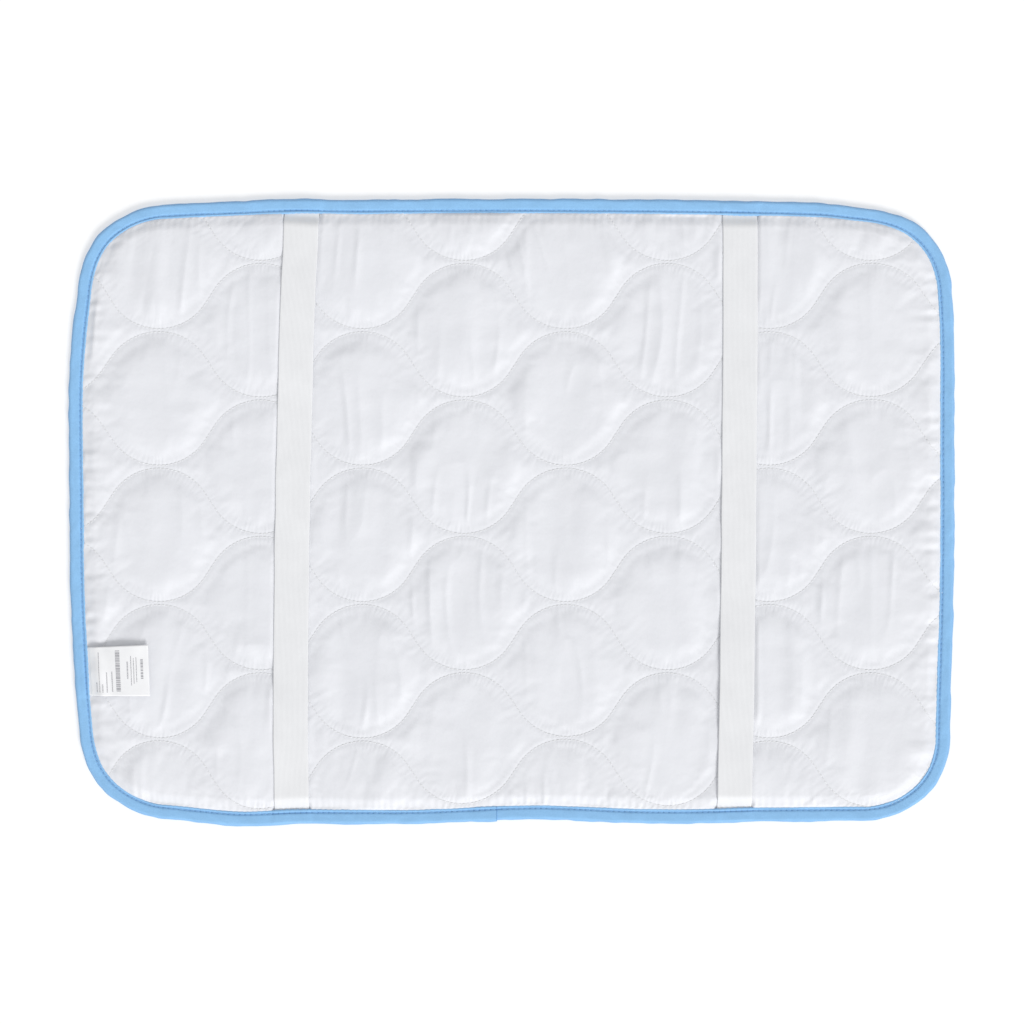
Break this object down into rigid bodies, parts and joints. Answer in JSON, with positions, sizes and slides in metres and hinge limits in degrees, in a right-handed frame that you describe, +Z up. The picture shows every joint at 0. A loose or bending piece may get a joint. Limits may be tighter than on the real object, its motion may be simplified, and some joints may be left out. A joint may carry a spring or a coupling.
{
  "type": "changing pad",
  "caption": "Thin quilted pad for nappy changes, lying face down: rounded corners, bound edge, wave quilting, and elastic straps across its back that hold it on a mattress or board.",
  "frame": {"origin": "under the middle of the pad, on the surface that it lies on, face down", "axes": "+X along the pad's length, away from the care label; +Y across its width, away from the corner with the care label; +Z up, out of the back with the straps"},
  "size_m": [0.6498, 0.46, 0.0103],
  "materials": {
    "face_cotton": "matt white cotton jersey",
    "polyester_wadding": "soft white fibre wadding",
    "back_fabric": "smooth thin bluish-white cloth with a slight sheen",
    "binding_tape": "light blue woven bias tape",
    "binding_thread": "light blue sewing thread",
    "quilting_thread": "white sewing thread",
    "elastic": "white ribbed elastic with plain edges",
    "label_tape": "white satin label tape"
  },
  "bodies": {
    "left_half": {"face_fabric_left": "face_cotton", "wadding_left": "polyester_wadding", "back_fabric_left": "back_fabric", "edge_binding_left": "binding_tape", "binding_stitching_left": "binding_thread", "binding_bobbin_thread_left": "binding_thread", "quilting_thread_left": "quilting_thread", "quilting_bobbin_thread_left": "quilting_thread", "left_strap_front_end": "elastic", "left_strap_rear_end": "elastic", "care_label_sewn_end": "label_tape"},
    "right_half": {"face_fabric_right": "face_cotton", "wadding_right": "polyester_wadding", "back_fabric_right": "back_fabric", "edge_binding_right": "binding_tape", "binding_stitching_right": "binding_thread", "binding_bobbin_thread_right": "binding_thread", "quilting_thread_right": "quilting_thread", "quilting_bobbin_thread_right": "quilting_thread", "right_strap_front_end": "elastic", "right_strap_rear_end": "elastic"},
    "left_strap": {"left_strap_span": "elastic"},
    "right_strap": {"right_strap_span": "elastic"},
    "care_label": {"care_label": "label_tape"}
  },
  "joints": [
    {"name": "pad_fold", "type": "hinge", "parent": "left_half", "child": "right_half", "pos_m": [0, 0, 0.0111], "axis": [0, -1, 0], "range_deg": [0, 180]},
    {"name": "left_strap_lift", "type": "slide", "parent": "left_half", "child": "left_strap", "axis": [0, 0, -1], "range_m": [-0.1, 0], "stiffness_N_per_m": 60, "deforming": ["left_strap_span"]},
    {"name": "right_strap_lift", "type": "slide", "parent": "right_half", "child": "right_strap", "axis": [0, 0, -1], "range_m": [-0.1, 0], "stiffness_N_per_m": 60, "deforming": ["right_strap_span"]},
    {"name": "care_label_flip", "type": "hinge", "parent": "left_half", "child": "care_label", "pos_m": [-0.29992, -0.11715, 0.0099], "axis": [-0.0372, 0.9993, 0], "range_deg": [-180, 0]}
  ]
}
